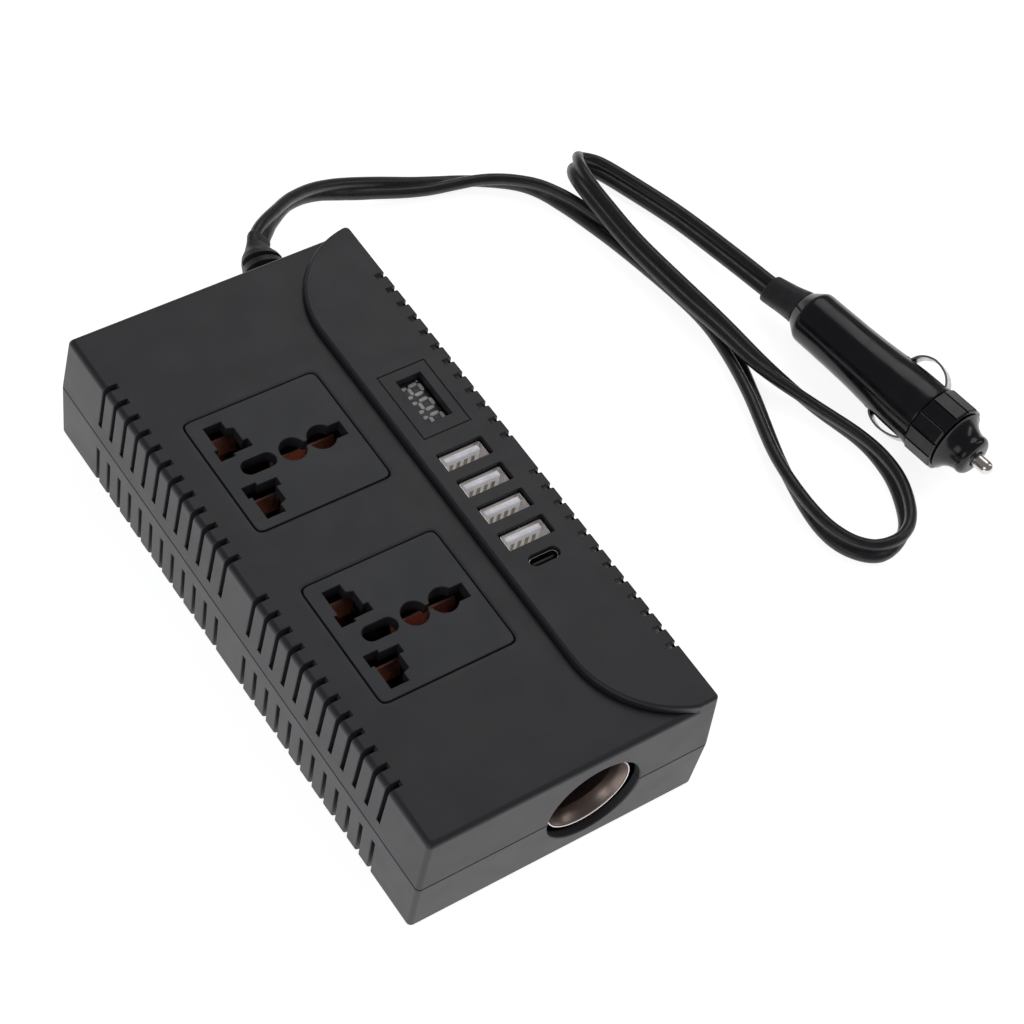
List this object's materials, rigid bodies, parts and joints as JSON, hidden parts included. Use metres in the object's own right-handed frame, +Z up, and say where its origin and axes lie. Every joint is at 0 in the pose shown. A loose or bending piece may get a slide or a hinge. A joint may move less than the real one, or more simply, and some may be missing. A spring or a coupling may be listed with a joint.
{
  "type": "power inverter",
  "caption": "Flat car power inverter with universal mains outlets, USB ports, a display, a lighter socket on its end and a car plug on a flat cord.",
  "frame": {"origin": "middle of the case's underside, on the surface it lies on", "axes": "+Z up; +Y along the case towards the end the cord leaves; the lighter socket is on the -Y end; +X towards the side with the USB ports"},
  "size_m": [0.2317, 0.2191, 0.0418],
  "materials": {
    "case_plastic": "fine matt texture, black",
    "screw_steel": "blackened steel",
    "outlet_plastic": "smooth matt black",
    "inner_plastic": "black moulding",
    "copper_strip": "bright copper-coloured spring strip",
    "port_steel": "bright nickel-plated steel",
    "white_plastic": "white moulding",
    "circuit_board": "green solder mask",
    "socket_nickel": "nickel-plated steel, satin",
    "ferrite": "grey ferrite",
    "winding_tape": "yellow polyester tape",
    "capacitor_sleeve": "shrink sleeve",
    "heat_sink_aluminium": "extruded, plain",
    "soft_pvc": "soft black moulding",
    "cord_pvc": "satin black PVC",
    "plug_plastic": "glossy black",
    "plug_nickel": "bright nickel",
    "fuse_glass": "glass tube with metal caps"
  },
  "bodies": {
    "case": {"top_shell": "case_plastic", "bottom_shell": "case_plastic", "case_screw_1": "screw_steel", "case_screw_2": "screw_steel", "case_screw_3": "screw_steel", "case_screw_4": "screw_steel", "outlet_face_1": "outlet_plastic", "outlet_body_1": "inner_plastic", "contact_line_1": "copper_strip", "contact_neutral_1": "copper_strip", "contact_earth_1": "copper_strip", "outlet_face_2": "outlet_plastic", "outlet_body_2": "inner_plastic", "contact_line_2": "copper_strip", "contact_neutral_2": "copper_strip", "contact_earth_2": "copper_strip", "usb_a_shell_1": "port_steel", "usb_a_tongue_1": "white_plastic", "usb_a_shell_2": "port_steel", "usb_a_tongue_2": "white_plastic", "usb_a_shell_3": "port_steel", "usb_a_tongue_3": "white_plastic", "usb_a_shell_4": "port_steel", "usb_a_tongue_4": "white_plastic", "usb_c_shell": "port_steel", "usb_c_tongue": "inner_plastic", "port_board": "circuit_board", "display_module": "inner_plastic", "socket_cup": "socket_nickel", "socket_insulator": "inner_plastic", "socket_contact": "socket_nickel", "main_board": "circuit_board", "transformer_core": "ferrite", "transformer_winding": "winding_tape", "output_capacitor": "capacitor_sleeve", "input_capacitor_1": "capacitor_sleeve", "input_capacitor_2": "capacitor_sleeve", "heat_sink": "heat_sink_aluminium", "transistor_1": "inner_plastic", "transistor_2": "inner_plastic", "transistor_3": "inner_plastic", "transistor_4": "inner_plastic", "fan_frame": "inner_plastic", "cord_boot": "soft_pvc", "cord": "cord_pvc", "plug_boot": "soft_pvc", "plug_body": "plug_plastic"},
    "fan": {"fan_rotor": "inner_plastic"},
    "nose": {"plug_nose": "plug_plastic"},
    "collar": {"plug_collar": "plug_plastic"},
    "tip": {"plug_tip": "plug_nickel", "plug_fuse": "fuse_glass"},
    "contact_a": {"side_contact_1": "plug_nickel"},
    "contact_b": {"side_contact_2": "plug_nickel"}
  },
  "joints": [
    {"name": "fan_spin", "type": "hinge", "parent": "case", "child": "fan", "pos_m": [-0.018, 0.0806, 0.02], "axis": [0, 1, 0], "continuous": true},
    {"name": "nose_travel", "type": "slide", "parent": "case", "child": "nose", "axis": [0.128, -0.9911, 0.037], "range_m": [0, 0.006]},
    {"name": "collar_turn", "type": "hinge", "parent": "nose", "child": "collar", "pos_m": [0.17584, -0.03236, 0.01138], "axis": [0.128, -0.9911, 0.037], "range_deg": [0, 1080]},
    {"name": "tip_press", "type": "slide", "parent": "nose", "child": "tip", "axis": [-0.128, 0.9911, -0.037], "range_m": [0, 0.0025], "stiffness_N_per_m": 900},
    {"name": "contact_press_a", "type": "slide", "parent": "case", "child": "contact_a", "axis": [-0.7613, -0.1221, -0.6368], "range_m": [0, 0.0025], "stiffness_N_per_m": 700},
    {"name": "contact_press_b", "type": "slide", "parent": "case", "child": "contact_b", "axis": [0.7613, 0.1221, 0.6368], "range_m": [0, 0.0015], "stiffness_N_per_m": 700}
  ],
  "couplings": [
    {"joint": "collar_turn", "follows": "nose_travel", "rad_per_m": 3141.6}
  ]
}
